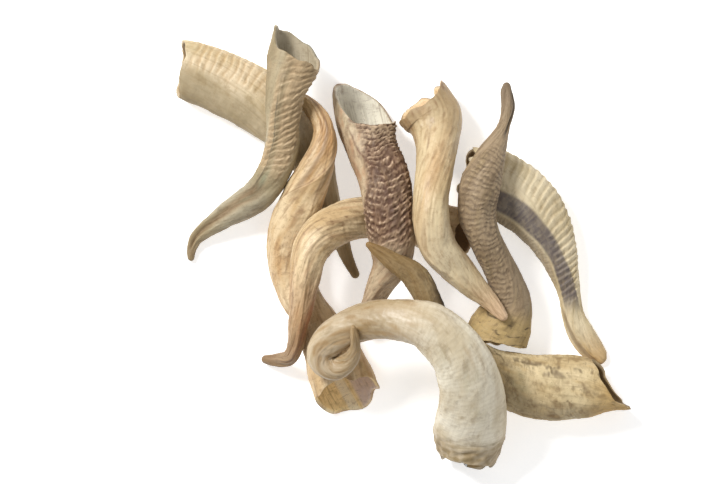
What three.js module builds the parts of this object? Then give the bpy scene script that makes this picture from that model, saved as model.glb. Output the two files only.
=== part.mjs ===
// A heap of ten raw ram's horns, the blanks that shofars are made from.
// Each horn is one hollow, twisted, tapering sheath with a closed tip and an open, broken base.
// Millimetres, +Z up. The floor is z = 0 and the origin is at the middle of the heap's footprint.
import { BufferAttribute, BufferGeometry, CatmullRomCurve3, Group, Mesh } from 'three';
import { MeshStandardMaterial, Vector3 } from 'three';

const FLOOR = 0;
const AROUND = 16; // facets round a horn
const RING_SPACING = 12; // outer rings, mean distance along a horn
const RING_CROWDING = 1.2; // above 1 sets the rings closer together towards the tip
const CAVITY_RINGS = 7; // rings of the hollow, mouth to bottom
const TIP_RINGS = 2; // rings of the rounded tip
const WALL = 3.4; // thickness of the horn at its rim
const KEEL = 0.055; // how far the front edge stands out, as a share of the radius
const KEEL_HALF_ANGLE = 0.55; // radians
const ARC_STEPS = 600; // steps used to measure a route's length
const DEGREE = Math.PI / 180;
const UP = new Vector3(0, 0, 1);

// One row for each horn. A station is [x, y, z, width, height, twist]: the middle of the horn, its
// size across and through, and the angle in degrees of its front edge, from the base to the tip.
// The rim is a list of [waves, depth, angle]: how many times round, how deep it is broken away, and
// where it is deepest. The hollow is the share of the length that is open inside.
const HORNS = [
  {
    name: 'pale_back_horn', colour: 0xd8c79c, roughness: 0.55, hollow: 0.5,
    rim: [[1, 15, 165], [3, 3, 40]],
    stations: [
      [-230, 183, 22, 50, 45, 0], [-212, 176, 22, 58, 46, 2], [-181, 164, 21, 61, 45, 10],
      [-148, 147, 21, 61, 44, 20], [-116, 122, 20, 54, 40, 35], [-92, 90, 19, 43, 34, 50],
      [-79, 53, 15, 30, 26, 65], [-66, 20, 12, 20, 19, 85], [-57, -6, 9, 13, 12, 100],
      [-46, -30, 6, 8, 8, 110],
    ],
  },
  {
    name: 'striped_horn', colour: 0xb9ad92, roughness: 0.5, hollow: 0.5,
    rim: [[1, 6, 150], [4, 2, 0]],
    stations: [
      [57, 80, 23, 44, 44, 0], [70, 74, 23, 52, 47, 2], [96, 62, 22, 64, 48, 8], [122, 44, 21, 62, 45, 16],
      [141, 22, 19, 52, 38, 28], [153, -2, 16, 40, 30, 42], [161, -26, 13, 29, 24, 60],
      [166, -46, 11, 22, 18, 80], [169, -65, 9, 22, 15, 100], [177, -84, 8, 26, 13, 120],
      [188, -100, 6, 24, 11, 135], [198, -109, 5, 16, 9, 145], [203, -112, 4, 8, 7, 150],
    ],
  },
  {
    name: 'amber_long_horn', colour: 0xd4b283, roughness: 0.5, hollow: 0.48,
    rim: [[1, 34, 75], [5, 4, 70], [2, 3, 20]],
    stations: [
      [-45, -165, 23, 58, 50, 0], [-52, -150, 23, 62, 50, 2], [-62, -127, 23, 62, 50, 8],
      [-74, -97, 24, 52, 46, 20], [-92, -65, 21, 40, 40, 35], [-106, -40, 18, 42, 38, 50],
      [-111, -12, 20, 48, 36, 65], [-110, 18, 28, 48, 35, 80], [-100, 48, 40, 42, 33, 100],
      [-88, 76, 50, 35, 28, 120], [-80, 100, 53, 25, 21, 140], [-80, 120, 51, 20, 16, 160],
      [-91, 139, 47, 16, 13, 180], [-104, 148, 44, 12, 11, 195], [-115, 147, 41, 7, 7, 205],
    ],
  },
  {
    name: 'arched_horn', colour: 0xc9ae82, roughness: 0.5, hollow: 0.46,
    rim: [[1, 24, 65], [3, 3, 10]],
    stations: [
      [76, 8, 20, 52, 43, 0], [63, 12, 20, 52, 43, 2], [36, 20, 19, 49, 41, 8], [7, 28, 19, 46, 39, 18],
      [-23, 31, 27, 42, 36, 30], [-52, 28, 43, 41, 34, 45], [-76, 17, 58, 41, 32, 60],
      [-91, -1, 66, 37, 30, 75], [-97, -27, 66, 31, 26, 90], [-100, -52, 62, 25, 22, 105],
      [-104, -77, 53, 20, 18, 120], [-107, -96, 41, 16, 15, 135], [-113, -109, 28, 15, 13, 150],
      [-126, -112, 15, 13, 11, 165], [-141, -111, 6, 7, 7, 175],
    ],
  },
  {
    name: 'ridged_brown_horn', colour: 0xa98d78, roughness: 0.6, hollow: 0.5,
    rim: [[1, 58, 42], [3, 4, 100]],
    stations: [
      [-43, 170, 22, 50, 46, 0], [-42, 156, 23, 56, 49, 2], [-38, 128, 27, 58, 48, 10],
      [-31, 98, 38, 50, 44, 20], [-19, 68, 56, 51, 41, 35], [-14, 38, 66, 49, 38, 50],
      [-11, 10, 66, 47, 36, 65], [-12, -14, 58, 38, 31, 85], [-21, -33, 48, 28, 24, 100],
      [-30, -51, 39, 21, 18, 115], [-38, -66, 31, 15, 13, 130], [-45, -79, 24, 7, 8, 140],
    ],
  },
  {
    name: 'torn_base_horn', colour: 0xb59c6e, roughness: 0.6, hollow: 0.46,
    rim: [[1, 46, 162], [2, 6, 150], [5, 3, 20]],
    stations: [
      [236, -154, 20, 12, 28, 0], [216, -149, 22, 26, 40, 2], [196, -142, 24, 50, 50, 4],
      [172, -138, 24, 62, 51, 8], [142, -138, 23, 64, 49, 14], [112, -133, 26, 58, 42, 24],
      [84, -121, 32, 46, 35, 38], [57, -101, 45, 36, 28, 52], [36, -76, 61, 28, 22, 68],
      [24, -50, 71, 25, 19, 85], [11, -28, 79, 26, 16, 100], [-9, -14, 86, 19, 11, 115],
      [-25, -3, 88, 11, 8, 125], [-37, 5, 88, 5, 5, 130],
    ],
  },
  {
    name: 'grey_twisted_horn', colour: 0xa18f78, roughness: 0.62, hollow: 0.42,
    rim: [[1, 8, 100], [5, 2, 30]],
    stations: [
      [92, -100, 20, 56, 44, 0], [94, -90, 21, 61, 44, 2], [100, -74, 25, 58, 42, 10],
      [106, -55, 31, 44, 36, 25], [102, -35, 39, 35, 31, 45], [92, -12, 47, 32, 29, 65],
      [80, 11, 56, 33, 29, 85], [73, 35, 62, 37, 30, 105], [75, 60, 64, 40, 31, 125],
      [84, 85, 60, 32, 26, 150], [93, 105, 53, 20, 17, 175], [100, 122, 46, 12, 12, 200],
      [104, 140, 38, 13, 9, 220], [103, 156, 31, 11, 8, 235], [103, 165, 28, 6, 5, 245],
    ],
  },
  {
    name: 'cream_horn', colour: 0xd8c6a0, roughness: 0.45, hollow: 0.46,
    rim: [[1, 10, 100], [3, 3, 60]],
    stations: [
      [12, 150, 30, 57, 50, 0], [18, 143, 31, 59, 50, 2], [29, 129, 34, 57, 46, 10],
      [33, 115, 41, 48, 42, 22], [33, 96, 54, 40, 37, 35], [30, 72, 69, 37, 34, 50],
      [27, 48, 79, 35, 32, 65], [28, 23, 81, 36, 32, 80], [35, 0, 75, 36, 30, 95],
      [51, -18, 66, 33, 25, 110], [67, -35, 59, 27, 20, 125], [82, -49, 55, 19, 14, 140],
      [94, -62, 54, 14, 10, 150], [102, -71, 54, 7, 6, 160],
    ],
  },
  {
    name: 'front_horn', colour: 0xe0d6bd, roughness: 0.42, hollow: 0.45,
    rim: [[1, 8, 100], [3, 4, 60], [5, 2, 10]],
    stations: [
      [62, -220, 22, 46, 50, 0], [65, -206, 23, 58, 52, 2], [67, -182, 36, 70, 52, 6],
      [69, -157, 62, 66, 50, 12], [65, -131, 84, 61, 47, 20], [53, -103, 98, 55, 43, 30],
      [28, -79, 104, 49, 38, 42], [6, -72, 101, 43, 34, 55], [-18, -70, 92, 39, 31, 70],
      [-43, -74, 80, 37, 28, 85], [-66, -85, 71, 34, 25, 105], [-80, -100, 64, 31, 22, 125],
      [-79, -113, 61, 28, 19, 150], [-67, -118, 62, 24, 16, 175], [-54, -111, 70, 17, 13, 195],
      [-48, -99, 83, 11, 10, 205], [-48, -87, 95, 8, 8, 215], [-50, -76, 101, 4, 5, 220],
    ],
  },
  {
    name: 'twisted_left_horn', colour: 0xa69d85, roughness: 0.6, hollow: 0.42,
    rim: [[1, 42, 35], [3, 5, 110], [5, 2, 0]],
    stations: [
      [-108, 226, 58, 36, 42, 0], [-108, 212, 60, 44, 44, 2], [-109, 186, 63, 52, 43, 10],
      [-116, 158, 66, 41, 36, 25], [-119, 130, 60, 34, 31, 45], [-120, 103, 52, 34, 28, 65],
      [-128, 76, 45, 32, 27, 85], [-143, 54, 34, 32, 26, 105], [-166, 39, 22, 27, 22, 130],
      [-190, 23, 14, 19, 16, 155], [-205, 11, 9, 13, 12, 175], [-211, -1, 6, 9, 9, 190],
      [-212, -13, 4, 6, 6, 200],
    ],
  },
];

// Distance along a route, its two directions across, and the horn's size and twist there.
function follow(horn) {
  const route = new CatmullRomCurve3(
    horn.stations.map((s) => new Vector3(s[0], s[1], s[2])), false, 'catmullrom', 0.5);
  const girth = new CatmullRomCurve3(
    horn.stations.map((s) => new Vector3(s[3], s[4], s[5])), false, 'catmullrom', 0.5);
  route.arcLengthDivisions = ARC_STEPS;
  const length = route.getLength();
  const at = (distance) => {
    const t = route.getUtoTmapping(Math.min(distance / length, 1));
    const along = route.getTangent(t);
    const side = new Vector3().crossVectors(UP, along).normalize();
    const top = new Vector3().crossVectors(along, side);
    return { middle: route.getPoint(t), side, top, size: girth.getPoint(t) };
  };
  return { length, at };
}

// How far the rim is broken back at an angle round the horn.
function brokenBack(horn, angle) {
  return horn.rim.reduce((sum, [waves, depth, deepest]) => (
    sum + depth * (0.5 + 0.5 * Math.cos(waves * (angle - deepest * DEGREE)))), 0);
}

// The section is an ellipse with a soft keel along the front edge. The scale shrinks it for the tip,
// and the inset moves it inwards for the hollow.
function sectionPoint(place, turn, scale, inset) {
  const { middle, side, top, size } = place;
  const angle = turn + size.z * DEGREE;
  const keel = 1 + KEEL * Math.exp(-((Math.atan2(Math.sin(turn), Math.cos(turn)) / KEEL_HALF_ANGLE) ** 2));
  const across = (size.x / 2) * keel * scale - inset;
  const through = (size.y / 2) * keel * scale - inset;
  return middle.clone()
    .addScaledVector(side, Math.max(across, 0) * Math.cos(angle))
    .addScaledVector(top, Math.max(through, 0) * Math.sin(angle));
}

function ring(path, horn, distanceAt, scale, insetAt) {
  const points = [];
  for (let i = 0; i < AROUND; i += 1) {
    const turn = (i / AROUND) * 2 * Math.PI;
    const rough = path.at(0).size.z * DEGREE + turn;
    const distance = distanceAt(brokenBack(horn, rough));
    const place = path.at(distance);
    const point = sectionPoint(place, turn, scale, insetAt(place.size));
    point.z = Math.max(point.z, FLOOR);
    points.push(point);
  }
  return points;
}

// Rings from the rim down the outside to the tip, and from the bottom of the hollow back to the rim.
function hornGeometry(horn) {
  const path = follow(horn);
  const tipSize = path.at(path.length).size;
  const tipLength = (tipSize.x + tipSize.y) / 4;
  const straight = path.length - tipLength;
  const outerCount = Math.round(straight / RING_SPACING);
  const rings = [];
  for (let i = CAVITY_RINGS; i >= 0; i -= 1) {
    const share = i / (CAVITY_RINGS + 1);
    const depth = share * horn.hollow * path.length;
    const narrowing = 1 - Math.sqrt(1 - share ** 2);
    const inset = (size) => WALL + narrowing * (Math.min(size.x, size.y) / 2 - WALL);
    rings.push(ring(path, horn, (cut) => cut * (1 - share) + depth, 1, inset));
  }
  for (let i = 0; i <= outerCount; i += 1) {
    const share = 1 - (1 - i / outerCount) ** RING_CROWDING;
    rings.push(ring(path, horn, (cut) => cut + (straight - cut) * share, 1, () => 0));
  }
  for (let i = 1; i <= TIP_RINGS; i += 1) {
    const bend = (i / (TIP_RINGS + 1)) * (Math.PI / 2);
    rings.push(ring(path, horn, () => straight + tipLength * Math.sin(bend), Math.cos(bend), () => 0));
  }
  return closedLoft(path.at(horn.hollow * path.length).middle, rings, path.at(path.length).middle);
}

// Joins rings of equal count into one closed body with a point at each end.
function closedLoft(first, rings, last) {
  const vertices = [first, ...rings.flat(), last];
  const end = vertices.length - 1;
  const index = [];
  for (let i = 0; i < AROUND; i += 1) {
    const next = (i + 1) % AROUND;
    index.push(0, 1 + next, 1 + i);
    for (let r = 0; r < rings.length - 1; r += 1) {
      const here = 1 + r * AROUND;
      const there = here + AROUND;
      index.push(here + i, there + next, there + i, here + i, here + next, there + next);
    }
    const rim = 1 + (rings.length - 1) * AROUND;
    index.push(rim + i, rim + next, end);
  }
  const geometry = new BufferGeometry();
  geometry.setAttribute('position', new BufferAttribute(
    new Float32Array(vertices.flatMap((v) => v.toArray())), 3));
  geometry.setIndex(index);
  geometry.computeVertexNormals();
  return geometry;
}

const heap = new Group();
for (const horn of HORNS) {
  const material = new MeshStandardMaterial({
    color: horn.colour, roughness: horn.roughness, metalness: 0,
  });
  const mesh = new Mesh(hornGeometry(horn), material);
  mesh.name = horn.name;
  heap.add(mesh);
}

export default heap;
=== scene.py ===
# %% [markdown]
# # A heap of shofar blanks
# A shofar starts as a ram's horn: a hollow sheath of keratin that grew over a core of bone. It tapers, it
# twists about its own length, it is crossed by growth ridges, and its base is broken and ragged where it
# left the skull. Ten such horns lie over one another here. Each one is a single surface, so each one is
# worked out as a single formula: a section carried along a path, with relief pushed out of it.

# %% Load the frame
import bpy
import numpy as np
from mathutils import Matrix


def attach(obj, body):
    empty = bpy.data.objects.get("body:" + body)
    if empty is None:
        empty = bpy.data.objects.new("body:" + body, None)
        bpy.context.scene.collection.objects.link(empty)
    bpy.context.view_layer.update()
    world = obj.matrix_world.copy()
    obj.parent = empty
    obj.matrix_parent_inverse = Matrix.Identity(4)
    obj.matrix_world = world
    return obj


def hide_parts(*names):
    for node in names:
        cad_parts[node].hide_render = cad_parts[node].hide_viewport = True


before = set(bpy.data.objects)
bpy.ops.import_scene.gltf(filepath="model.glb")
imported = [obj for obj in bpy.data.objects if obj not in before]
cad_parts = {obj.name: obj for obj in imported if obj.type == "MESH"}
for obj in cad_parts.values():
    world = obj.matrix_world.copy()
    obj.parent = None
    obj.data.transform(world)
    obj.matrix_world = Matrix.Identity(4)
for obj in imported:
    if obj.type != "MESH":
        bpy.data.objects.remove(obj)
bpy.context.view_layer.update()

# %% [markdown]
# ## The route of each horn
# A horn's shape is settled by a few stations from its base to its tip. Each station says where the middle
# of the horn is, how wide and how high it is there, and how far its front edge has turned about it. The
# list could be a curve object with a bevel, but a bevel is round and even, and a horn is neither, so the
# stations stay numbers that a function can blend.

# %% Stations: x, y, z, width, height in mm, turn of the front edge in degrees
MM = 0.001
HORNS = {
    "pale_back_horn": {
        "hollow": 0.5, "rim": [(1, 15, 165), (3, 3, 40)],
        "stations": [
            (-230, 183, 22, 50, 45, 0), (-212, 176, 22, 58, 46, 2), (-181, 164, 21, 61, 45, 10),
            (-148, 147, 21, 61, 44, 20), (-116, 122, 20, 54, 40, 35), (-92, 90, 19, 43, 34, 50),
            (-79, 53, 15, 30, 26, 65), (-66, 20, 12, 20, 19, 85), (-57, -6, 9, 13, 12, 100),
            (-46, -30, 6, 8, 8, 110)],
    },
    "striped_horn": {
        "hollow": 0.5, "rim": [(1, 6, 150), (4, 2, 0)],
        "stations": [
            (57, 80, 23, 44, 44, 0), (70, 74, 23, 52, 47, 2), (96, 62, 22, 64, 48, 8),
            (122, 44, 21, 62, 45, 16), (141, 22, 19, 52, 38, 28), (153, -2, 16, 40, 30, 42),
            (161, -26, 13, 29, 24, 60), (166, -46, 11, 22, 18, 80), (169, -65, 9, 22, 15, 100),
            (177, -84, 8, 26, 13, 120), (188, -100, 6, 24, 11, 135), (198, -109, 5, 16, 9, 145),
            (203, -112, 4, 8, 7, 150)],
    },
    "amber_long_horn": {
        "hollow": 0.48, "rim": [(1, 34, 75), (5, 4, 70), (2, 3, 20)],
        "stations": [
            (-45, -165, 23, 58, 50, 0), (-52, -150, 23, 62, 50, 2), (-62, -127, 23, 62, 50, 8),
            (-74, -97, 24, 52, 46, 20), (-92, -65, 21, 40, 40, 35), (-106, -40, 18, 42, 38, 50),
            (-111, -12, 20, 48, 36, 65), (-110, 18, 28, 48, 35, 80), (-100, 48, 40, 42, 33, 100),
            (-88, 76, 50, 35, 28, 120), (-80, 100, 53, 25, 21, 140), (-80, 120, 51, 20, 16, 160),
            (-91, 139, 47, 16, 13, 180), (-104, 148, 44, 12, 11, 195), (-115, 147, 41, 7, 7, 205)],
    },
    "arched_horn": {
        "hollow": 0.46, "rim": [(1, 24, 65), (3, 3, 10)],
        "stations": [
            (76, 8, 20, 52, 43, 0), (63, 12, 20, 52, 43, 2), (36, 20, 19, 49, 41, 8),
            (7, 28, 19, 46, 39, 18), (-23, 31, 27, 42, 36, 30), (-52, 28, 43, 41, 34, 45),
            (-76, 17, 58, 41, 32, 60), (-91, -1, 66, 37, 30, 75), (-97, -27, 66, 31, 26, 90),
            (-100, -52, 62, 25, 22, 105), (-104, -77, 53, 20, 18, 120), (-107, -96, 41, 16, 15, 135),
            (-113, -109, 28, 15, 13, 150), (-126, -112, 15, 13, 11, 165), (-141, -111, 6, 7, 7, 175)],
    },
    "ridged_brown_horn": {
        "hollow": 0.5, "rim": [(1, 58, 42), (3, 4, 100)],
        "stations": [
            (-43, 170, 22, 50, 46, 0), (-42, 156, 23, 56, 49, 2), (-38, 128, 27, 58, 48, 10),
            (-31, 98, 38, 50, 44, 20), (-19, 68, 56, 51, 41, 35), (-14, 38, 66, 49, 38, 50),
            (-11, 10, 66, 47, 36, 65), (-12, -14, 58, 38, 31, 85), (-21, -33, 48, 28, 24, 100),
            (-30, -51, 39, 21, 18, 115), (-38, -66, 31, 15, 13, 130), (-45, -79, 24, 7, 8, 140)],
    },
    "torn_base_horn": {
        "hollow": 0.46, "rim": [(1, 46, 162), (2, 6, 150), (5, 3, 20)],
        "stations": [
            (236, -154, 20, 12, 28, 0), (216, -149, 22, 26, 40, 2), (196, -142, 24, 50, 50, 4),
            (172, -138, 24, 62, 51, 8), (142, -138, 23, 64, 49, 14), (112, -133, 26, 58, 42, 24),
            (84, -121, 32, 46, 35, 38), (57, -101, 45, 36, 28, 52), (36, -76, 61, 28, 22, 68),
            (24, -50, 71, 25, 19, 85), (11, -28, 79, 26, 16, 100), (-9, -14, 86, 19, 11, 115),
            (-25, -3, 88, 11, 8, 125), (-37, 5, 88, 5, 5, 130)],
    },
    "grey_twisted_horn": {
        "hollow": 0.42, "rim": [(1, 8, 100), (5, 2, 30)],
        "stations": [
            (92, -100, 20, 56, 44, 0), (94, -90, 21, 61, 44, 2), (100, -74, 25, 58, 42, 10),
            (106, -55, 31, 44, 36, 25), (102, -35, 39, 35, 31, 45), (92, -12, 47, 32, 29, 65),
            (80, 11, 56, 33, 29, 85), (73, 35, 62, 37, 30, 105), (75, 60, 64, 40, 31, 125),
            (84, 85, 60, 32, 26, 150), (93, 105, 53, 20, 17, 175), (100, 122, 46, 12, 12, 200),
            (104, 140, 38, 13, 9, 220), (103, 156, 31, 11, 8, 235), (103, 165, 28, 6, 5, 245)],
    },
    "cream_horn": {
        "hollow": 0.46, "rim": [(1, 10, 100), (3, 3, 60)],
        "stations": [
            (12, 150, 30, 57, 50, 0), (18, 143, 31, 59, 50, 2), (29, 129, 34, 57, 46, 10),
            (33, 115, 41, 48, 42, 22), (33, 96, 54, 40, 37, 35), (30, 72, 69, 37, 34, 50),
            (27, 48, 79, 35, 32, 65), (28, 23, 81, 36, 32, 80), (35, 0, 75, 36, 30, 95),
            (51, -18, 66, 33, 25, 110), (67, -35, 59, 27, 20, 125), (82, -49, 55, 19, 14, 140),
            (94, -62, 54, 14, 10, 150), (102, -71, 54, 7, 6, 160)],
    },
    "front_horn": {
        "hollow": 0.45, "rim": [(1, 8, 100), (3, 4, 60), (5, 2, 10)],
        "stations": [
            (62, -220, 22, 46, 50, 0), (65, -206, 23, 58, 52, 2), (67, -182, 36, 70, 52, 6),
            (69, -157, 62, 66, 50, 12), (65, -131, 84, 61, 47, 20), (53, -103, 98, 55, 43, 30),
            (28, -79, 104, 49, 38, 42), (6, -72, 101, 43, 34, 55), (-18, -70, 92, 39, 31, 70),
            (-43, -74, 80, 37, 28, 85), (-66, -85, 71, 34, 25, 105), (-80, -100, 64, 31, 22, 125),
            (-79, -113, 61, 28, 19, 150), (-67, -118, 62, 24, 16, 175), (-54, -111, 70, 17, 13, 195),
            (-48, -99, 83, 11, 10, 205), (-48, -87, 95, 8, 8, 215), (-50, -76, 101, 4, 5, 220)],
    },
    "twisted_left_horn": {
        "hollow": 0.42, "rim": [(1, 42, 35), (3, 5, 110), (5, 2, 0)],
        "stations": [
            (-108, 226, 58, 36, 42, 0), (-108, 212, 60, 44, 44, 2), (-109, 186, 63, 52, 43, 10),
            (-116, 158, 66, 41, 36, 25), (-119, 130, 60, 34, 31, 45), (-120, 103, 52, 34, 28, 65),
            (-128, 76, 45, 32, 27, 85), (-143, 54, 34, 32, 26, 105), (-166, 39, 22, 27, 22, 130),
            (-190, 23, 14, 19, 16, 155), (-205, 11, 9, 13, 12, 175), (-211, -1, 6, 9, 9, 190),
            (-212, -13, 4, 6, 6, 200)],
    },
}
print("stations:", {name: len(horn["stations"]) for name, horn in HORNS.items()})

# %% [markdown]
# ## Blending the stations
# The stations are joined by a Catmull-Rom blend, which passes through each one with a smooth turn. It
# blends all six numbers at once, so the size and the twist are as smooth as the path. Distances along the
# horn are measured on a fine copy of the path, because growth ridges are spaced by length.

# %% Catmull-Rom blend and distance along it
FINE_STEPS = 4000


def blend_rows(rows, t, slope=False):
    """Row number t of a table, in between by the Catmull-Rom cubic through the four nearest rows."""
    padded = np.vstack([2 * rows[0] - rows[1], rows, 2 * rows[-1] - rows[-2]])
    i = np.clip(np.floor(t).astype(int), 0, len(rows) - 2)
    f = (t - i)[..., None]
    a, b, c, d = padded[i], padded[i + 1], padded[i + 2], padded[i + 3]
    if slope:
        return 0.5 * ((c - a) + 2 * (2 * a - 5 * b + 4 * c - d) * f + 3 * (3 * b - a - 3 * c + d) * f**2)
    return 0.5 * (2 * b + (c - a) * f + (2 * a - 5 * b + 4 * c - d) * f**2 + (3 * b - a - 3 * c + d) * f**3)


class Route:
    """A horn's path: length in mm, and at(distance), which gives middle, side, top, size and twist."""

    def __init__(self, stations):
        self.rows = np.array(stations, float)
        self.t = np.linspace(0, len(self.rows) - 1, FINE_STEPS)
        steps = np.linalg.norm(np.diff(blend_rows(self.rows[:, :3], self.t), axis=0), axis=1)
        self.distance = np.concatenate([[0], np.cumsum(steps)])
        self.length = self.distance[-1]

    def at(self, distance):
        """The frame at a distance: side is level and square to the path, top is square to both."""
        t = np.interp(distance, self.distance, self.t)
        row = blend_rows(self.rows, t)
        along = blend_rows(self.rows[:, :3], t, slope=True)
        along /= np.linalg.norm(along, axis=-1, keepdims=True)
        side = np.cross(np.array([0.0, 0.0, 1.0]), along)
        side /= np.linalg.norm(side, axis=-1, keepdims=True)
        return row[..., :3], side, np.cross(along, side), row[..., 3:5], np.radians(row[..., 5])


routes = {name: Route(horn["stations"]) for name, horn in HORNS.items()}
print("length along the curve, mm:", {name: round(r.length) for name, r in routes.items()})

# %% [markdown]
# ## Small tools for relief
# Growth leaves marks that wander: no ridge is straight and no two are the same. The wandering comes from a
# sum of cosine waves with seeded directions. It is worked out on a straightened copy of the horn, a
# cylinder, so that it joins up with itself all the way round.

# %% Waves, steps and patches
MEAN_RADIUS = 25.0
WAVES = 18


def wander(s, a, length, width, seed):
    """Smooth noise, about -1 to 1: a sum of seeded cosine waves, length mm along and width mm round."""
    rng = np.random.default_rng(seed)
    heading = rng.normal(size=(WAVES, 3))
    heading *= (rng.uniform(0.6, 1.5, WAVES) / np.linalg.norm(heading, axis=1))[:, None]
    phase = rng.uniform(0, 2 * np.pi, WAVES)
    x, y, z = s / length, MEAN_RADIUS * np.cos(a) / width, MEAN_RADIUS * np.sin(a) / width
    total = np.zeros(np.broadcast(s, a).shape)
    for (p, q, r), start in zip(heading, phase):
        total += np.cos(2 * np.pi * (p * x + q * y + r * z) + start)
    return total * np.sqrt(2 / WAVES) / 1.6


def step(x, low, high):
    """0 below low, 1 above high, and the cubic 3x2 - 2x3 between them."""
    x = np.clip((x - low) / (high - low), 0, 1)
    return x * x * (3 - 2 * x)


def apart(a, centre):
    """Angle from centre to a in degrees, the short way round."""
    return (np.degrees(a) - centre + 180) % 360 - 180


def patch(s, a, at, degrees, length, width):
    """1 at one place on the horn, fading as a bell to 0 over length mm and width degrees."""
    return np.exp(-(((s - at) / length) ** 2) - (apart(a, degrees) / width) ** 2)


def band(s, a, route, half_width, soft):
    """1 on a band that follows (mm, degrees) points along the horn, 0 off it."""
    at, degrees = zip(*route)
    off = np.abs(apart(a, np.interp(s, at, degrees)))
    return 1 - step(off, half_width - soft, half_width + soft)


def crack(s, a, route):
    """A thin line along (mm, degrees) points, 1 on the line and 0 off it, fading at both ends."""
    at = [place for place, _ in route]
    return band(s, a, route, 2.2, 2.2) * step(s, at[0], at[0] + 10) * (1 - step(s, at[-1] - 10, at[-1]))


def ridges(s, a, pitch, lean, waver, seed, broken=0.55):
    """Growth ridges, -1 to 1: a leaning wave along the horn, a finer wave over it, fading in places."""
    drift = waver * wander(s, a, 5 * pitch, 26, seed)
    drift = drift + 0.2 * broken * wander(s, a, 1.5 * pitch, 7, seed + 2)
    turn = 2 * np.pi * (s / pitch + lean * np.sin(a) + drift)
    small = np.sin(2.3 * turn + 3 * wander(s, a, 3 * pitch, 9, seed + 3))
    fading = np.clip(1 - 0.7 * broken + broken * wander(s, a, 1.6 * pitch, 9, seed + 1), 0.12, 1.1)
    return (0.85 * np.sin(turn + 0.6 * np.sin(turn)) + 0.5 * broken * small) * fading


def fold(s, a, route, height, width):
    """A crease along (mm, degrees) points: it rises gently on one side and drops sharply on the other."""
    at, degrees = zip(*route)
    off = apart(a, np.interp(s, at, degrees))
    ends = step(s, at[0] - 8, at[0] + 14) * (1 - step(s, at[-1] - 14, at[-1] + 8))
    gentle, sharp = np.exp(-np.abs(off) / width), np.exp(-np.abs(off) / (0.22 * width))
    return height * ends * np.where(off > 0, gentle, sharp)


print("a noise row:", np.round(wander(np.arange(0, 50, 10.0), np.zeros(5), 20, 20, 1), 2))

# %% [markdown]
# ## The surface of a horn
# The outside is a grid of two parameters: how far along, and how far round. The section is an ellipse with
# a soft keel along its front edge. The rim is cut back by a few waves round it, and then by small bites.
# The inside is a second grid that narrows to a rounded bottom, so the horn is a sheath and not a solid rod.
# A boolean could hollow a rod instead, but it would leave a ragged mesh where the two surfaces meet.

# %% The section and the rim
AROUND = 168
KEEL, KEEL_HALF_ANGLE = 0.055, 0.55
BITE, NIBBLE = 2.2, 0.2
SEEDS = {name: 100 * place for place, name in enumerate(HORNS)}


def section(route, distance, turn, scale, push):
    """Middle + side * across * cos(angle) + top * through * sin(angle), pushed out by push mm."""
    middle, side, top, size, twist = route.at(distance)
    angle = turn + twist
    near_front = np.arctan2(np.sin(turn), np.cos(turn)) / KEEL_HALF_ANGLE
    keel = (1 + KEEL * np.exp(-near_front**2)) * scale
    across = np.maximum(size[..., 0] / 2 * keel + push, 0.05 * scale)
    through = np.maximum(size[..., 1] / 2 * keel + push, 0.05 * scale)
    return middle + side * (across * np.cos(angle))[..., None] + top * (through * np.sin(angle))[..., None]


def rim_cut(name, turn):
    """How far the rim is cut back, in mm: a cosine for each of its waves, and the square of two noises."""
    horn, seed = HORNS[name], SEEDS[name]
    first_twist = np.radians(horn["stations"][0][5])
    cut = sum(depth * (0.5 + 0.5 * np.cos(waves * (first_twist + turn - np.radians(deepest))))
              for waves, depth, deepest in horn["rim"])
    cut = cut + BITE * wander(0 * turn, turn, 9, 24, seed + 90) ** 2
    return cut + NIBBLE * wander(0 * turn, turn, 9, 6, seed + 92) ** 2


for name in HORNS:
    cut = rim_cut(name, np.linspace(0, 2 * np.pi, AROUND))
    print(f"{name:18} rim cut back {cut.min():4.1f} to {cut.max():4.1f} mm")

# %% [markdown]
# ### One closed sheath
# Four grids follow one another: up from the bottom of the hollow, over the rim, along the outside and round
# the tip. Every ring has as many points as the one before it, so the faces are only arithmetic on the
# numbers of the points, and two fans close the ends.

# %% The sheath from the route, the rim and the relief
ALONG_SPACING = 0.9
INNER_ROWS = 64
TIP_ROWS = 9
WALL = 3.4


def faces(rings, points):
    """Quads from each ring to the next, and a fan from the first point and from the last one."""
    ring, after = np.arange(AROUND), (np.arange(AROUND) + 1) % AROUND
    row = 1 + np.arange(rings - 1)[:, None] * AROUND
    quads = np.stack([row + ring, row + after, row + after + AROUND, row + ring + AROUND], axis=-1)
    last = 1 + (rings - 1) * AROUND
    fans = np.vstack([np.stack([0 * ring, 1 + after, 1 + ring], -1),
                      np.stack([last + ring, last + after, 0 * ring + points - 1], -1)])
    return quads.reshape(-1, 4), fans


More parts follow.
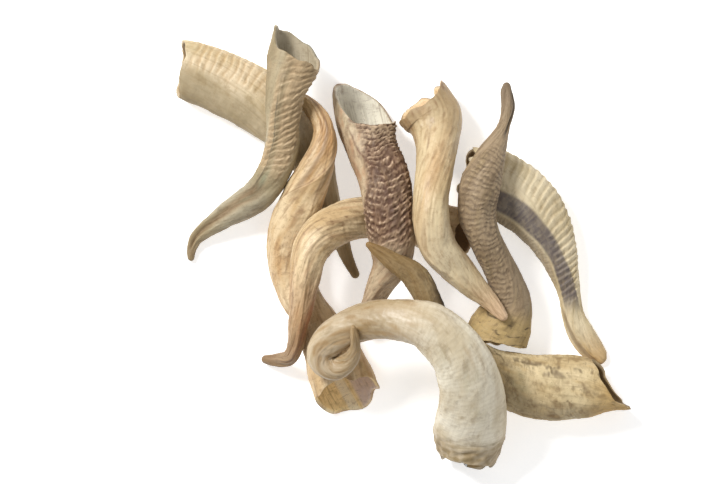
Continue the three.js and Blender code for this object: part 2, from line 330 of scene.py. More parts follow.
def sheath(name, relief):
    """Points, faces and (s, a, inside) of a closed horn: bottom of the hollow, rim, outside, tip."""
    horn, route, seed = HORNS[name], routes[name], SEEDS[name]
    turn = np.arange(AROUND) * 2 * np.pi / AROUND
    cut = rim_cut(name, turn)
    tip = sum(horn["stations"][-1][3:5]) / 4
    straight = route.length - tip
    rows = int(straight / ALONG_SPACING)

    share = np.linspace(0, 1, rows + 1)[:, None]
    outer_s = cut + (straight - cut) * share
    grid_turn = np.broadcast_to(turn, outer_s.shape)
    fade = step(outer_s - cut, 0, 4) * (1 - step(outer_s, straight - 6, straight))
    outer = section(route, outer_s, grid_turn, 1, relief(outer_s, grid_turn) * fade)

    share = np.linspace(1, 0, INNER_ROWS + 1)[:-1, None] * (INNER_ROWS - 1) / INNER_ROWS
    inner_s = cut * (1 - share) + share * horn["hollow"] * route.length
    half = route.at(inner_s)[3].min(axis=-1) / 2
    inset = WALL + (1 - np.sqrt(1 - share**2)) * (half - WALL)
    inner_turn = np.broadcast_to(turn, inner_s.shape)
    inset = inset - 0.5 * wander(inner_s, inner_turn, 24, 6, seed + 91) * step(share, 0.04, 0.2)
    inner = section(route, inner_s, inner_turn, 1, -inset)

    bend = (np.arange(1, TIP_ROWS + 1) / (TIP_ROWS + 1) * np.pi / 2)[:, None]
    tip_s = straight + tip * np.sin(bend) + 0 * turn
    cap = section(route, tip_s, np.broadcast_to(turn, tip_s.shape), np.cos(bend), 0 * tip_s)

    bottom = route.at(np.array([horn["hollow"] * route.length]))[0]
    apex = route.at(np.array([route.length]))[0]
    points = np.vstack([bottom, *(g.reshape(-1, 3) for g in (inner, outer, cap)), apex])
    points[:, 2] = np.maximum(points[:, 2], 0)
    s = np.concatenate([[horn["hollow"] * route.length], inner_s.ravel(), outer_s.ravel(), tip_s.ravel(),
                        [route.length]])
    rings = INNER_ROWS + rows + 1 + TIP_ROWS
    a = np.concatenate([[0], np.tile(turn, rings), [0]])
    inside = np.zeros(len(s))
    inside[: 1 + INNER_ROWS * AROUND] = 1
    quads, fans = faces(rings, len(points))
    return points * MM, quads, fans, s, a, inside


# %% [markdown]
# ## Relief and paint
# Each horn keeps its own marks: where it is ridged, how far apart, where it is smooth, where it is
# stained. They're written as functions of (s, a): mm from the base, and the angle round from the front
# edge, which deg gives in degrees from -180 to 180. Relief is in mm. Paint is a set of masks from 0 to 1
# that the finish reads as attributes, so the colour follows the same ridges as the shape. A texture
# painted by hand would need the horn unrolled first.
#
# Every horn's function below fills in its zone of masks, and returns the relief, the ridge wave, where the
# ridges are, how deep they are and how strongly they're tinted. Its numbers are places on that horn:
# step(s, 86, 110) rises from 86 to 110 mm from the base, and patch(s, a, 224, -25, 24, 44) is a bell at
# 224 mm and -25 degrees, fading over 24 mm and 44 degrees.

# %% What every horn has
MASKS = ("ridge", "crest", "stripe", "stain", "flush", "green", "grey")
PLAIN_TINT = 0.3


def fine(s, a, seed, pitch=2.3, depth=0.045):
    """Faint growth lines all over, and slow dents that make the highlights uneven."""
    return depth * ridges(s, a, pitch, 0.6, 0.9, seed) + 0.5 * wander(s, a, 34, 26, seed + 5) \
        + 0.16 * wander(s, a, 9, 7, seed + 6)


def flutes(s, a, seed, depth=0.13):
    """Lengthwise grooves, as if the horn were drawn out."""
    return depth * wander(s, a, 130, 5.5, seed)


def spots(s, a, seed):
    """Small spots, 0 to 1, that gather in places: noise at two scales, cut off softly."""
    return step(wander(s, a, 6, 5, seed + 30) + 0.5 * wander(s, a, 18, 11, seed + 33), 0.55, 1.1)


print("masks:", MASKS)

# %% [markdown]
# ### Pale back horn
# Low ridges cross the front band of this horn and stop short of its grey, smooth side. They could be
# rings of their own, but a growth ridge is part of the wall, so it's a wave added to the radius. A mask
# between two angles keeps it on the band, which narrows towards the tip.

# %% Marks of the pale back horn
PALE_BACK_LENGTH = routes["pale_back_horn"].length


def pale_back(s, a, deg, seed, zone, relief):
    """Rings 7 mm apart on a band between two angles; grey off the band and beyond it."""
    wave = ridges(s, a, 7, 0.5, 0.3, seed + 10, 0.3)
    edge = np.interp(s, [0, 90, 130], [92, 62, 50])
    strength = step(s, 8, 22) * (1 - step(s, 84, 104))
    strength = strength * step(deg, -25, 8) * (1 - step(deg, edge - 16, edge + 4))
    depth, tint = 0.45, 0.4
    zone["flush"] = 0.30 * strength * (0.6 - 0.5 * wave)
    zone["grey"] = 0.6 * step(s, 86, 110) * (1 - step(s, 128, 150)) + 0.75 * step(s, 128, 165)
    zone["grey"] += 0.85 * step(deg, 60, 100) * (1 - step(s, 90, 110))
    zone["stain"] = 0.5 * step(np.abs(deg), 128, 158)
    zone["stain"] += 0.35 * step(s, PALE_BACK_LENGTH - 60, PALE_BACK_LENGTH)
    zone["stain"] += 0.35 * step(wander(s - 0.3 * deg, a, 70, 3.5, seed + 27), 0.5, 1.0)
    return relief, wave, strength, depth, tint

# %% [markdown]
# ### Striped horn
# A dark band runs beside the pale ridged edge and crosses the front near the tip. It could be a second
# material on chosen faces, but then its edge would step from face to face. Between two lines in (s, a) it
# stays smooth at any density. The flat tip is pressed into a spoon, which is relief below the surface.

# %% Marks of the striped horn
def striped(s, a, deg, seed, zone, relief):
    """Ridges times a window; a stripe between two lines; a spoon and a groove taken off the relief."""
    wave = ridges(s, a, 7, -0.9, 0.22, seed + 10, 0.12)
    strength = step(s, 6, 18) * (1 - step(s, 168, 190)) * step(deg, -75, -20) * (1 - step(deg, 50, 70))
    depth = 0.7 + 0.35 * (1 - step(np.abs(deg + 30), 12, 44))
    upper = np.interp(s, [0, 45, 100, 140, 170, 195], [98, 88, 63, 30, -14, -66])
    lower = np.interp(s, [0, 50, 100, 140, 175, 200], [134, 127, 105, 72, 56, 24])
    stripe = step(deg, upper - 3, upper + 3) * (1 - step(deg, lower - 5, lower + 5))
    zone["stripe"] = stripe * step(s, 18, 40) * (1 - step(s, 176, 200))
    zone["stripe"] *= 0.91 + 0.09 * ridges(s, a, 5, -0.9, 0.2, seed + 16)
    low = step(deg, lower, lower + 12) * (1 - step(s, 150, 180))
    zone["grey"] = 0.85 * low * (0.75 + 0.25 * ridges(s, a, 4, 0.8, 0.3, seed + 14))
    groove = band(s, a, [(186, 64), (215, 20), (240, 0)], 13, 9) * step(s, 182, 200)
    spoon = patch(s, a, 224, -25, 24, 44)
    relief = relief - 1.2 * groove - 2.2 * spoon + 0.3 * low * ridges(s, a, 5, 0.8, 0.4, seed + 14)
    relief = relief + fold(s, a, [(30, 90), (100, 62), (140, 30), (172, -14)], 1.1, 16)
    zone["stain"] = 0.85 * groove
    return relief, wave, strength, depth, PLAIN_TINT

# %% [markdown]
# ### Amber horn
# This horn turns through most of a circle as it grows, and the turning raises folds, with painted shade in
# the crease beside each. They could be sculpted by hand. Here a crease follows the path of its fold, 4
# degrees to one side, so the dark line of painted shade stays at the foot of the fold.

# %% Marks of the amber horn
def amber(s, a, deg, seed, zone, relief):
    """Faint ridges, two folds, creases of painted shade 4 degrees beside the fold they belong to, and a
    painted shadow on one side.
    """
    wave = ridges(s, a, 11, 0.5, 0.6, seed + 10)
    strength, depth = 0.35 * (1 - step(s, 190, 260)), 0.45
    zone["stripe"] = 0.6 * band(s, a, [(230, -45), (305, -45)], 9, 7) * step(s, 232, 250)
    zone["stripe"] += 0.5 * band(s, a, [(240, 10), (295, 10)], 8, 6) * step(s, 242, 256)
    relief = relief + fold(s, a, [(215, -85), (235, -60), (262, -15), (292, 25), (310, 40)], 2.3, 24)
    relief = relief + fold(s, a, [(150, 60), (200, 30), (245, 15)], 1.2, 18)
    crease = [(205, -92), (235, -64), (262, -19), (292, 21), (314, 40)]
    zone["flush"] = 0.7 * patch(s, a, 304, -20, 28, 62)
    zone["flush"] += 0.25 * step(wander(s, a, 60, 14, seed + 21), 0.1, 0.8)
    zone["stain"] = 0.4 * step(wander(s, a, 60, 6, seed + 22), 0.35, 0.9)
    # Painted shadow: the side beyond -90 degrees is darkened from 250 to 300 mm, where this horn lies in
    # shade.
    zone["stain"] += 0.3 * step(-deg, 90, 130) * step(s, 250, 300)
    # The first crack is painted shade along the crease at the foot of the first fold.
    zone["stain"] += 0.55 * crack(s, a, crease) + 0.6 * crack(s, a, [(225, 30), (262, 2), (296, -24)])
    return relief, wave, strength, depth, PLAIN_TINT

# %% [markdown]
# ### Arched horn
# Smooth and streaked, with a few rubbed dark spots and a red-brown blush where it bends down. A blush is a
# bell-shaped patch, since it has no edge.

# %% Marks of the arched horn
def arched(s, a, deg, seed, zone, relief):
    """Faint ridges, one fold, and patches of blush and of dark marks."""
    wave = ridges(s, a, 10, -0.4, 0.6, seed + 10)
    strength, depth = 0.3 + 0 * s, 0.45
    zone["stain"] = 0.5 * step(wander(s, a, 80, 6, seed + 22), 0.2, 0.8)
    zone["stain"] += 0.7 * spots(s, a, seed) * patch(s, a, 160, 45, 22, 36)
    relief = relief + fold(s, a, [(120, 60), (200, 10), (270, -40), (330, -70)], 1.4, 22)
    zone["flush"] = 0.8 * patch(s, a, 270, -75, 34, 26)
    zone["flush"] += 0.42 * step(s, 195, 245) * (1 - step(s, 285, 325))
    zone["grey"] = 0.55 * step(s, 265, 320)
    zone["stain"] += 0.35 * step(s, 225, 330)
    return relief, wave, strength, depth, PLAIN_TINT

# %% [markdown]
# ### Ridged brown horn
# Its ridges are close, dark in the valleys and pale on the crests, and two sets of them meet in a line.
# One wave makes both: the distance along the horn is shifted by the angle from that line, which bends
# each ridge into a chevron. The wave has small noise on it, because a clean wave looks turned on a lathe.

# %% Marks of the ridged brown horn
MEETING_LINE = 52  # degrees from the front edge


def ridged_brown(s, a, deg, seed, zone, relief):
    """Ridges of s + 0.16 times the angle from the meeting line, plus small noise, on a band."""
    level = ridges(s, a, 6.5, 0.0, 0.25, seed + 10)
    chevron = ridges(s + 0.16 * np.abs(deg - MEETING_LINE), a, 6.5, 0.0, 0.25, seed + 10)
    wave = np.where(np.abs(deg) < 140, chevron, level)
    wave = wave + 0.45 * wander(s, a, 2.6, 3.4, seed + 28)
    wide = np.interp(s, [20, 45, 68, 100, 125, 145], [122, 112, 88, 90, 100, 135])
    strength = step(s, 18, 34) * (1 - step(s, 165, 190))
    strength = strength * step(deg, -42, -14) * (1 - step(deg, wide - 14, wide + 10))
    depth, tint = 1.0, 0.95
    relief = relief + fold(s, a, [(60, 112), (82, 96), (115, 58), (160, 18)], 1.7, 24)
    zone["stripe"] = 0.6 * strength * step(wander(s, a, 18, 9, seed + 24), 0.0, 0.8) * step(s, 60, 90)
    dark = 0.55 + 0.45 * step(s, 66, 96) * (1 - step(s, 150, 185))
    brown = 0.85 * strength * dark + 0.7 * crack(s, a, [(50, 120), (82, 98), (115, 60), (165, 20)])
    streaks = step(wander(s + 0.4 * deg, a, 40, 5, seed + 22), 0, 0.7)
    zone["stain"] = brown + 0.3 * step(s, 160, 190) * streaks
    mottled_side = (1 - step(s, 90, 130)) * step(deg, 84, 100)
    zone["stain"] += 0.4 * mottled_side * step(wander(s, a, 14, 7, seed + 31), -0.1, 0.7)
    zone["green"] = 0.4 * (1 - step(s, 50, 75)) * step(deg, 88, 112)
    zone["flush"] = 0.55 * step(wander(s, a, 22, 9, seed + 29), 0, 0.8)
    zone["flush"] *= (1 - strength) * (1 - step(s, 120, 150))
    return relief, wave, strength, depth, tint

# %% [markdown]
# ### Torn-base horn
# Dark blots cover its base, and its tip is olive, with painted shade along one edge. The blots are noise at
# two scales, cut off softly, and the same noise sinks them a little into the surface, as decay does.

# %% Marks of the torn-base horn
def torn_base(s, a, deg, seed, zone, relief):
    """Faint ridges, one fold, blots of noise that fade out by 200 mm, and painted shade along one edge of
    the tip.
    """
    wave = ridges(s, a, 8, 0.4, 0.7, seed + 10)
    strength = 0.25 + 0.35 * patch(s, a, 275, 68, 26, 28)
    depth = 0.7
    relief = relief + fold(s, a, [(245, 22), (300, -5), (340, -32)], 1.6, 30)
    blots = wander(s, a, 17, 11, seed + 22) + 0.45 * wander(s, a, 5, 4, seed + 23)
    zone["stain"] = 0.62 * step(blots, -0.1, 1.3) * (1 - step(s, 150, 200))
    zone["stain"] += 0.78 * step(s, 225, 252)
    zone["green"] = 0.15 * step(s, 225, 252) * (1 - step(s, 330, 345))
    relief = relief - 0.3 * step(blots, 0.4, 1.2) * (1 - step(s, 150, 200))
    # Painted shade, in the stripe mask: a dark patch at 246 mm and 86 degrees darkens the edge of the tip
    # that lies in shade.
    zone["stripe"] = patch(s, a, 246, 86, 36, 44)
    zone["stripe"] += 0.55 * band(s, a, [(30, 112), (140, 108)], 13, 9) * step(blots, -0.2, 0.7)
    zone["grey"] = 0.5 * step(deg, -6, 8) * (1 - step(deg, 40, 54)) * (1 - step(s, 160, 200))
    zone["flush"] = 0.8 * (1 - step(s, 30, 62))
    relief = relief + 0.9 * spots(s, a, seed) * patch(s, a, 90, 24, 60, 30)
    return relief, wave, strength, depth, PLAIN_TINT

# %% [markdown]
# ### Grey horn
# Fine ridges, close together, fade out before a flat smooth tip. The base is yellow with dark broken bands.
# Their spacing closes up towards the tip, because the distance is bent before the wave is taken.

# %% Marks of the grey horn
def grey_twisted(s, a, deg, seed, zone, relief):
    """Ridges of s - 32 (1 - e^(-s/80)) on a band; dark bands on the base; a groove at the tip."""
    wave = ridges(s - 32 * (1 - np.exp(-s / 80)), a, 4.6, 0.5, 0.4, seed + 10, 0.5)
    strength = step(s, 40, 54) * (1 - step(s, 205, 232))
    strength = strength * step(deg, -104, -78) * (1 - step(deg, 46, 74))
    depth, tint = 0.36, 0.6
    base = 1 - step(s, 34, 52)
    relief = relief + fold(s, a, [(60, 62), (120, 48), (200, 20)], 1.3, 20)
    zone["flush"] = 0.85 * base
    zone["stripe"] = 0.8 * base * step(ridges(s, a, 11, 0.2, 0.25, seed + 14, 0.3), 0.55, 0.8)
    zone["grey"] = 0.4 * step(s, 40, 58) * (1 - 0.6 * patch(s, a, 160, -62, 50, 26))
    groove = band(s, a, [(226, -60), (270, -60)], 12, 9) * step(s, 224, 240)
    relief = relief - groove
    relief = relief + 0.3 * wander(s, a, 120, 4, seed + 15) * patch(s, a, 160, 40, 40, 30)
    zone["stripe"] += 0.8 * groove
    return relief, wave, strength, depth, tint

# %% [markdown]
# ### Cream horn
# Almost smooth. What shows is colour: tan blushes, darker flecks and a stained rim, and a pale patch of
# painted light where the horn turns down into shade, so most of this cell is masks, over one long shallow
# fold.

# %% Marks of the cream horn
def cream(s, a, deg, seed, zone, relief):
    """Faint ridges, one fold, soft patches of colour, and a pale patch of painted light."""
    wave = ridges(s, a, 12, 0.3, 0.6, seed + 10)
    strength, depth = 0.25 + 0 * s, 0.4
    relief = relief + fold(s, a, [(150, 70), (200, 10), (250, -40)], 1.3, 26)
    # Painted light: a pale patch at 180 mm on the front edge lightens the part that turns down into shade.
    zone["crest"] = 0.8 * patch(s, a, 180, 0, 36, 70)
    zone["flush"] = 0.5 * patch(s, a, 95, 40, 42, 26) + 0.3 * patch(s, a, 176, 45, 30, 22)
    zone["flush"] += 0.3 * step(s, 200, 258)
    zone["stain"] = 0.5 * patch(s, a, 175, -70, 16, 20)
    zone["stain"] += 0.25 * step(wander(s, a, 90, 5, seed + 22), 0.35, 0.9)
    zone["stain"] += 0.45 * (1 - step(s, 4, 34)) + 0.18 * (1 - step(s, 34, 90))
    zone["stain"] += 0.4 * step(wander(s, a, 16, 9, seed + 25), 0.35, 1.0)
    return relief, wave, strength, depth, PLAIN_TINT

# %% [markdown]
# ### Front horn
# The big horn is ivory in the middle, brown along its arch and coil, and stained at its lumpy base. Fine
# rings cross it, faint enough to show mostly as tone. A groove follows the inside of the coil.

# %% Marks of the front horn
def front(s, a, deg, seed, zone, relief):
    """Fine rings that fade by 280 mm, lumps on the base, and a groove inside the coil."""
    wave = ridges(s, a, 4.2, 0.3, 0.35, seed + 10, 0.4)
    strength, depth = 0.5 * (1 - step(s, 220, 280)), 0.2
    base = 1 - step(s, 26, 60)
    brown = step(s, 150, 235) * (1 - 0.2 * step(s, 262, 300))
    zone["flush"] = 0.55 * base + 0.9 * brown * (0.75 + 0.25 * step(-deg, -12, 26))
    zone["stain"] = 0.9 * base * (0.45 + 0.55 * step(wander(s, a, 11, 9, seed + 31), -0.3, 0.6))
    zone["stain"] += 0.3 * step(s, 318, 352)
    relief = relief + 0.9 * base * wander(s, a, 13, 11, seed + 32)
    zone["stain"] += 0.45 * patch(s, a, 243, 30, 32, 90)
    zone["flush"] += 0.4 * step(wander(s, a, 30, 14, seed + 35), 0.1, 0.9) * step(s, 150, 230)
    groove = band(s, a, [(300, 60), (330, 70), (372, 60)], 22, 14) * step(s, 300, 322)
    relief = relief - 1.3 * groove * (1 - step(s, 360, 380))
    zone["stain"] += 0.6 * groove
    return relief, wave, strength, depth, PLAIN_TINT

# %% [markdown]
# ### Twisted left horn
# A ridged band climbs the front, with a green keel beside it, and past the band a deep groove runs to the
# tip. The groove is the deepest relief on any horn, 3.6 mm, so its sides slope over 36 degrees.

# %% Marks of the twisted left horn
def twisted_left(s, a, deg, seed, zone, relief):
    """Ridges of s - 0.16 times the angle on a band; a keel; a groove 3.6 mm deep."""
    wave = ridges(s - 0.16 * deg, a, 7.5, 0.0, 0.3, seed + 10, 0.42)
    strength = step(s, 6, 20) * (1 - step(s, 140, 168)) * step(deg, -40, -12) * (1 - step(deg, 82, 104))
    depth, tint = 0.85, 0.4
    keel = band(s, a, [(50, 82), (120, 55), (200, -10)], 9, 7)
    keel = keel * step(s, 42, 60) * (1 - step(s, 196, 216))
    groove = band(s, a, [(160, 22), (200, -5), (240, -40), (282, -78)], 24, 18)
    groove = groove * step(s, 158, 186) * (1 - step(s, 268, 286))
    relief = relief - 3.6 * groove + fold(s, a, [(30, 86), (60, 80), (120, 55), (200, 18)], 1.7, 22)
    zone["green"] = 0.7 * keel + 0.25 * (1 - strength)
    zone["flush"] = 0.5 * strength
    zone["stain"] = groove * (0.8 + 0.2 * wander(s, a, 60, 5, seed + 26))
    zone["stripe"] = 0.8 * crack(s, a, [(70, 82), (105, 66), (135, 52), (178, 26)])
    zone["grey"] = 0.6 * patch(s, a, 30, -60, 30, 46)
    zone["grey"] += 0.3 * step(s, 165, 190) * (1 - step(s, 225, 255)) * (1 - groove)
    zone["stain"] += 0.3 * step(s, 262, 285) + 0.4 * patch(s, a, 50, 140, 50, 40)
    return relief, wave, strength, depth, tint

# %% [markdown]
# ### Putting the marks together
# The ridges are pushed out last, and their valleys and crests become masks of their own, so that the
# colour can't miss the shape. A dark stripe hides most of the ridges' colour but keeps their relief.

# %% The marks of any horn
MARKS = {
    "pale_back_horn": pale_back, "striped_horn": striped, "amber_long_horn": amber, "arched_horn": arched,
    "ridged_brown_horn": ridged_brown, "torn_base_horn": torn_base, "grey_twisted_horn": grey_twisted,
    "cream_horn": cream, "front_horn": front, "twisted_left_horn": twisted_left,
}


def marks(name, s, a):
    """Relief in mm, growth lines and flutes and the horn's own, and its masks from 0 to 1."""
    seed = SEEDS[name]
    zone = {key: 0 * s + 0 * a for key in MASKS}
    relief = fine(s, a, seed) + flutes(s, a, seed + 8)
    relief, wave, strength, depth, tint = MARKS[name](s, a, apart(a, 0), seed, zone, relief)
    relief = relief + depth * strength * wave
    zone["ridge"] = strength * tint * step(-wave, -0.2, 0.55)
    zone["crest"] += strength * tint * step(wave, 0.4, 1.0)
    for key in ("ridge", "crest"):
        zone[key] = zone[key] * (1 - 0.85 * zone["stripe"])
    return relief, {key: np.clip(value, 0, 1) for key, value in zone.items()}


for name in HORNS:
    s, a = np.meshgrid(np.linspace(0, routes[name].length, 60), np.linspace(0, 2 * np.pi, 48))
    relief, zone = marks(name, s, a)
    print(f"{name:18} relief {relief.min():5.2f} to {relief.max():4.2f} mm, "
          f"ridged {zone['ridge'].mean():.2f}")

# %% [markdown]
# ## Into Blender
# The arrays go into a mesh in one call each. Every mask becomes a named attribute on the points, and so
# does the straightened position, which lets the finish draw fibres that run along the horn.

# %% Build one object for each horn
def build(name):
    """The horn as an object at the origin, with its masks and its straightened place on the points."""
    points, quads, fans, s, a, inside = sheath(name, lambda x, y: marks(name, x, y)[0])
    mesh = bpy.data.meshes.new(name)
    mesh.from_pydata(points.tolist(), [], quads.tolist() + fans.tolist())
    mesh.polygons.foreach_set("use_smooth", np.ones(len(mesh.polygons), bool))
    _, zone = marks(name, s, a)
    zone = {key: value * (1 - inside) for key, value in zone.items()}
    if name == "amber_long_horn":  # a pale strip and a mauve side show inside its open base
        zone["crest"] += inside * (1 - step(np.abs(apart(a, -88)), 7, 13))
        zone["grey"] += inside * step(-apart(a, 0), 102, 112)
    zone["inside"] = inside
    zone["tipward"] = s / routes[name].length
    for key, value in zone.items():
        mesh.attributes.new(key, "FLOAT", "POINT").data.foreach_set("value", value.astype(np.float32))
    straight = np.stack([s, MEAN_RADIUS * np.cos(a), MEAN_RADIUS * np.sin(a)], axis=-1).astype(np.float32)
    mesh.attributes.new("straight", "FLOAT_VECTOR", "POINT").data.foreach_set("vector", straight.ravel())
    mesh.update()
    piece = bpy.data.objects.new(name, mesh)
    bpy.context.scene.collection.objects.link(piece)
    return piece


pieces = {name: build(name) for name in HORNS}
for name, piece in pieces.items():
    corners = np.empty(len(piece.data.polygons), np.int32)
    piece.data.polygons.foreach_get("loop_total", corners)
    triangles = int((corners - 2).sum())
    print(f"{name:18} {len(piece.data.vertices):7} points {triangles:7} triangles")

# %% [markdown]
# ## The finish of horn
# Horn is keratin: dull where it is weathered, a little waxy where it is worn smooth, never shiny. Its
# colour lies in fibres that run along it, so the streaks come from noise that is stretched along the horn.
# A painted picture would do this too, but it would have to be unrolled and it would blur close up. Here
# the valleys, crests, stripes and stains are the same masks that shaped the relief.

# %% A small language for shaders
class Wire:
    """One number in a shader: adding, multiplying or taking it from 1 makes a Math node."""

    def __init__(self, finish, socket):
        self.finish, self.socket = finish, socket

    def maths(self, operation, *values):
        return self.finish.node("ShaderNodeMath", {"operation": operation}, dict(enumerate(values)))

    def __add__(self, other): return self.maths("ADD", self, other)
    def __radd__(self, other): return self.maths("ADD", other, self)
    def __rsub__(self, other): return self.maths("SUBTRACT", other, self)
    def __mul__(self, other): return self.maths("MULTIPLY", self, other)
    def __rmul__(self, other): return self.maths("MULTIPLY", other, self)


def linear(colour):
    """A colour written #rrggbb as linear red, green, blue and 1."""
    v = np.array([int(colour[i:i + 2], 16) / 255 for i in (1, 3, 5)])
    return (*np.where(v <= 0.04045, v / 12.92, ((v + 0.055) / 1.055) ** 2.4), 1.0)


class Finish:
    """A material under construction."""

    def __init__(self, name):
        self.material = bpy.data.materials.new(name)
        self.material.use_nodes = True
        self.tree = self.material.node_tree
        self.tree.nodes.clear()

    def node(self, kind, settings=None, sockets=None, output=0):
        """A node of a kind, with its settings, and with values or wires in its sockets."""
        made = self.tree.nodes.new(kind)
        for key, value in (settings or {}).items():
            setattr(made, key, value)
        for key, value in (sockets or {}).items():
            if isinstance(value, Wire):
                self.tree.links.new(value.socket, made.inputs[key])
            else:
                made.inputs[key].default_value = value
        return Wire(self, made.outputs[output]) if len(made.outputs) else made

    def mask(self, name):
        """The mask of that name on the mesh, 0 to 1."""
        return self.node("ShaderNodeAttribute", {"attribute_name": name}, output="Fac")

    def blend(self, amount, first, second, kind="MIX"):
        """First colour where amount is 0, second where it is 1, and in between a mix or a product."""
        return self.node("ShaderNodeMix", {"data_type": "RGBA", "blend_type": kind},
                         {0: amount, 6: first, 7: second}, output=2)

    def noise(self, along, across, detail=4.0, roughness=0.55, bend=0.0):
        """Noise with spots along mm long and across mm wide, on the straightened horn."""
        straight = self.node("ShaderNodeAttribute", {"attribute_name": "straight"}, output="Vector")
        scaled = self.node("ShaderNodeVectorMath", {"operation": "MULTIPLY"},
                           {0: straight, 1: (1 / along, 1 / across, 1 / across)})
        return self.node("ShaderNodeTexNoise", None,
                         {"Vector": scaled, "Scale": 1.0, "Detail": detail, "Roughness": roughness,
                          "Distortion": bend})

    def between(self, wire, low, high):
        """0 below low and 1 above high."""
        return self.node("ShaderNodeMapRange", {"interpolation_type": "SMOOTHSTEP"},
                         {0: wire, 1: low, 2: high, 3: 0.0, 4: 1.0})


# %% [markdown]
# ## The colours of each horn
# Each horn has a body colour and the colours its marks turn it. Two body colours are mixed in slow
# patches, since no horn is one colour from end to end, and the tip has its own.

# %% Colours: body, deep body, fibre, valley, crest and painted light, stripe and painted shade, stain and painted shade, flush, green, grey, inside, tip
COLOURS = {
    "pale_back_horn": ("#ecdcc0", "#d3c09b", "#97805a", "#ab8f66", "#f4e8d0", "#7a6653", "#8f7a56",
                       "#cf9f66", "#a8a283", "#a39375", "#8c7350", "#937a5c"),
    "striped_horn": ("#eee0c2", "#d8c7a2", "#9c8664", "#a8926a", "#f6ecd4", "#5b535c", "#7d6448",
                     "#c9a877", "#9d9a80", "#827365", "#8a7352", "#c9a46c"),
    # The amber horn's golden inside is made lighter still, as painted light against the shade in its open
    # base.
    "amber_long_horn": ("#eed8b4", "#d4b588", "#80593a", "#a38254", "#f0e0c0", "#6b4c30", "#7c5836",
                        "#c38a4c", "#a79a6c", "#d6beb4", "#f8da9e", "#b8945c"),
    "arched_horn": ("#f0dab4", "#d2b58a", "#775a3c", "#94744c", "#e0c9a2", "#5e4630", "#7d5c3c",
                    "#a8663e", "#9a926e", "#8c7656", "#7a5c38", "#866547"),
    "ridged_brown_horn": ("#d2bda0", "#b3997c", "#6b4f3e", "#4a2c1e", "#e6c9ae", "#45291c", "#6c4732",
                          "#b98a68", "#cfc9ae", "#8f8272", "#d2ccba", "#c6ae9a"),
    "torn_base_horn": ("#e6d3ab", "#ccb488", "#6a5030", "#77603f", "#ecdcb8", "#3a2a16", "#74562c",
                       "#d2a95e", "#8f8b60", "#8a7a60", "#8a7048", "#b58b4c"),
    "grey_twisted_horn": ("#bfa88a", "#9c866a", "#5e4c38", "#54453a", "#dcc6a8", "#40342a", "#67543f",
                          "#d0b67c", "#8f9078", "#867662", "#8a7454", "#634f3b"),
    "cream_horn": ("#e3d0ab", "#cfb78f", "#977550", "#b39466", "#f3e7ca", "#7a5b3c", "#85603f",
                   "#d09e6c", "#b5ad86", "#b3a484", "#dcc096", "#ffe2c6"),
    "front_horn": ("#f6efde", "#ddd0b6", "#957f5c", "#b09b74", "#f5eeda", "#6f5a3c", "#806a3c",
                   "#aa885a", "#b3ad8a", "#b3a588", "#b39768", "#c6a678"),
    "twisted_left_horn": ("#c2b192", "#a59576", "#6f5e45", "#7f6547", "#e0cbaa", "#55503f", "#7c5f40",
                          "#cfae88", "#8b9078", "#a4a6a4", "#a2967e", "#a58a68"),
}
SLOTS = {
    "pale_back_horn": "pale_yellow_horn", "striped_horn": "striped_horn", "amber_long_horn": "amber_horn",
    "arched_horn": "tan_horn", "ridged_brown_horn": "brown_ridged_horn", "torn_base_horn": "olive_horn",
    "grey_twisted_horn": "grey_horn", "cream_horn": "cream_horn", "front_horn": "ivory_horn",
    "twisted_left_horn": "grey_green_horn",
}
# How strongly fibres and flecks show, roughness, and a last tint over each finish
SMOOTH = {"front_horn": 0.45, "cream_horn": 0.7, "striped_horn": 0.7, "pale_back_horn": 0.75}
GLOSS = {"cream_horn": 0.40, "front_horn": 0.38, "arched_horn": 0.45, "amber_long_horn": 0.45}
DULL = 0.56
DEEPEN = (0.80, 0.775, 0.715, 1.0)


def horn_colour(finish, name, patches, threads):
    """Body in slow patches, the hollow, each mask in turn, then fibres and flecks, and a last tint kept off
    the inside, which paints light into the hollows.
    """
    body, deep, fibre, valley, crest, stripe, stain, flush, green, grey, hollow, tip = (
        linear(c) for c in COLOURS[name])
    mottles = finish.between(finish.noise(13, 9, 5.0, 0.62), 0.50, 0.68)
    lines = finish.between(finish.noise(3.0, 12, 5.0, 0.66, 1.1), 0.52, 0.70)
    flecks = finish.between(finish.noise(3.4, 1.9, 4.0, 0.65), 0.58, 0.74)
    tinge = finish.between(finish.noise(30, 11, 3.0), 0.52, 0.72)
    colour = finish.blend(patches, body, deep)
    colour = finish.blend(tinge * 0.30, colour, flush)
    cool = finish.between(finish.noise(26, 14, 3.0, 0.5, 0.4), 0.54, 0.72)
    colour = finish.blend(cool * 0.26, colour, green)
    colour = finish.blend(finish.between(finish.mask("tipward"), 0.80, 1.0) * 0.75, colour, tip)
    inner = finish.blend(threads * 0.35, hollow, fibre)
    colour = finish.blend(finish.mask("inside"), colour, inner)
    for key, paint, amount in (("green", green, 0.9), ("grey", grey, 0.9), ("flush", flush, 0.85),
                               ("stain", stain, 0.85), ("stripe", stripe, 0.95), ("ridge", valley, 0.9),
                               ("crest", crest, 0.85)):
        broken = 0.86 + 0.14 * finish.between(finish.noise(9, 5, 4.0), 0.38, 0.58)
        colour = finish.blend(finish.mask(key) * broken * amount, colour, paint)
    plain = SMOOTH.get(name, 1.0)
    calm = 1.0 - 0.75 * finish.mask("stripe")
    for amount in (mottles * 0.40, threads * (0.36 * plain), lines * (0.36 * plain),
                   flecks * (0.60 * plain)):
        colour = finish.blend(amount * calm, colour, fibre)
    # The last tint is kept off the inside: painted light that lifts the shade in the hollows.
    return finish.blend(1.0 - 0.85 * finish.mask("inside"), colour, DEEPEN, "MULTIPLY")


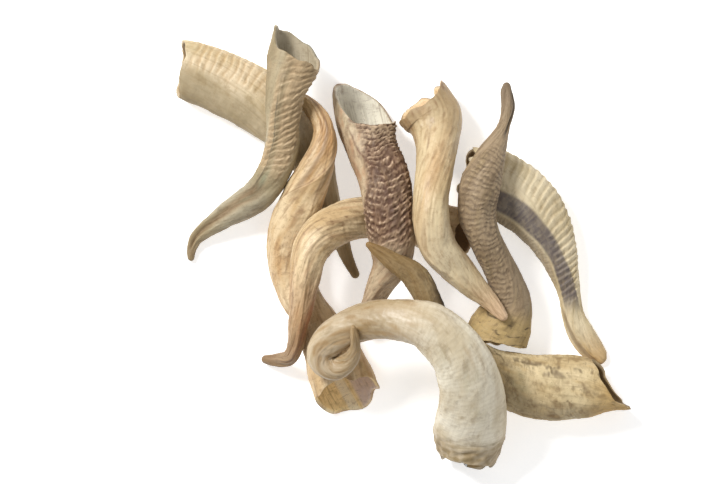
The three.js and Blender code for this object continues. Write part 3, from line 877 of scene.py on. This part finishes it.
def horn_finish(name):
    """The colour, a roughness worn in the same patches, and a fine grain that runs along the horn."""
    finish = Finish(SLOTS[name])
    patches = finish.between(finish.noise(48, 18), 0.36, 0.66)
    threads = finish.between(finish.noise(60, 2.2, 6.0, 0.62, 0.5), 0.50, 0.78)
    colour = horn_colour(finish, name, patches, threads)
    worn = GLOSS.get(name, DULL)
    rough = worn + 0.16 * patches + 0.14 * threads + 0.12 * finish.mask("ridge")
    grain = 0.5 * finish.noise(22, 1.2, 5.0, 0.6) + finish.noise(2.2, 2.6, 5.0, 0.65)
    bump = finish.node("ShaderNodeBump", None,
                       {"Strength": 0.55, "Distance": 0.4 * MM, "Height": grain}, output="Normal")
    surface = finish.node("ShaderNodeBsdfPrincipled", None,
                          {"Base Color": colour, "Roughness": rough, "Normal": bump,
                           "Specular IOR Level": 0.42, "Subsurface Weight": 0.0})
    finish.node("ShaderNodeOutputMaterial", None, {"Surface": surface})
    return finish.material


for name, piece in pieces.items():
    piece.data.materials.append(horn_finish(name))
    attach(piece, "root")
    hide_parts(name)
print("finishes:", [m.name for m in bpy.data.materials])

# %% [markdown]
# ## Floor, light and camera
# The heap lies on a plain white table under soft light from the upper left. A wide lamp and a bright
# surround keep the shadows faint. The camera hangs straight above and far off, with a long lens, so the
# horns keep their proportions.

# %% The stage
FLOOR_HALF = 30.0
FLOOR_GLOW = 0.50
CAMERA_HEIGHT = 6.0
LENS = 297.5
LOOK_AT = (-0.040, 0.006)

floor_mesh = bpy.data.meshes.new("floor")
floor_mesh.from_pydata([(-FLOOR_HALF, -FLOOR_HALF, 0), (FLOOR_HALF, -FLOOR_HALF, 0),
                        (FLOOR_HALF, FLOOR_HALF, 0), (-FLOOR_HALF, FLOOR_HALF, 0)], [], [(0, 1, 2, 3)])
floor = bpy.data.objects.new("floor", floor_mesh)
bpy.context.scene.collection.objects.link(floor)
paper = Finish("pale_floor")
paper_surface = paper.node("ShaderNodeBsdfPrincipled", None,
                           {"Base Color": linear("#f6f6f6"), "Roughness": 0.9, "Specular IOR Level": 0.1,
                            "Emission Color": (1, 1, 1, 1), "Emission Strength": FLOOR_GLOW})
paper.node("ShaderNodeOutputMaterial", None, {"Surface": paper_surface})
floor_mesh.materials.append(paper.material)


def lamp(name, place, size, power):
    """A square lamp that faces the heap."""
    data = bpy.data.lights.new(name, "AREA")
    data.size, data.energy = size, power
    made = bpy.data.objects.new(name, data)
    made.location = place
    aim = -np.array(place)
    made.rotation_euler = (np.arctan2(np.hypot(*aim[:2]), -aim[2]), 0, np.arctan2(-aim[0], aim[1]))
    bpy.context.scene.collection.objects.link(made)
    return made


WINDOW_POWER, FILL_POWER, SURROUND = 126, 14, 0.41
lamp("window", (-1.7, 1.6, 2.4), 0.9, WINDOW_POWER)
lamp("fill", (1.8, -1.2, 2.8), 2.2, FILL_POWER)

world = bpy.data.worlds.new("surround")
world.use_nodes = True
world.node_tree.nodes["Background"].inputs[0].default_value = (1, 1, 1, 1)
world.node_tree.nodes["Background"].inputs[1].default_value = SURROUND
bpy.context.scene.world = world

camera_data = bpy.data.cameras.new("camera")
camera_data.lens, camera_data.sensor_width, camera_data.clip_end = LENS, 36, 100
camera = bpy.data.objects.new("camera", camera_data)
camera.location = (*LOOK_AT, CAMERA_HEIGHT)
bpy.context.scene.collection.objects.link(camera)
bpy.context.scene.camera = camera
bpy.context.scene.view_settings.view_transform = "Standard"

print("camera", CAMERA_HEIGHT, "m up, lens", LENS, "mm")

# %% [markdown]
# ## The end
# The view layer is brought up to date.

# %% The end
bpy.context.view_layer.update()
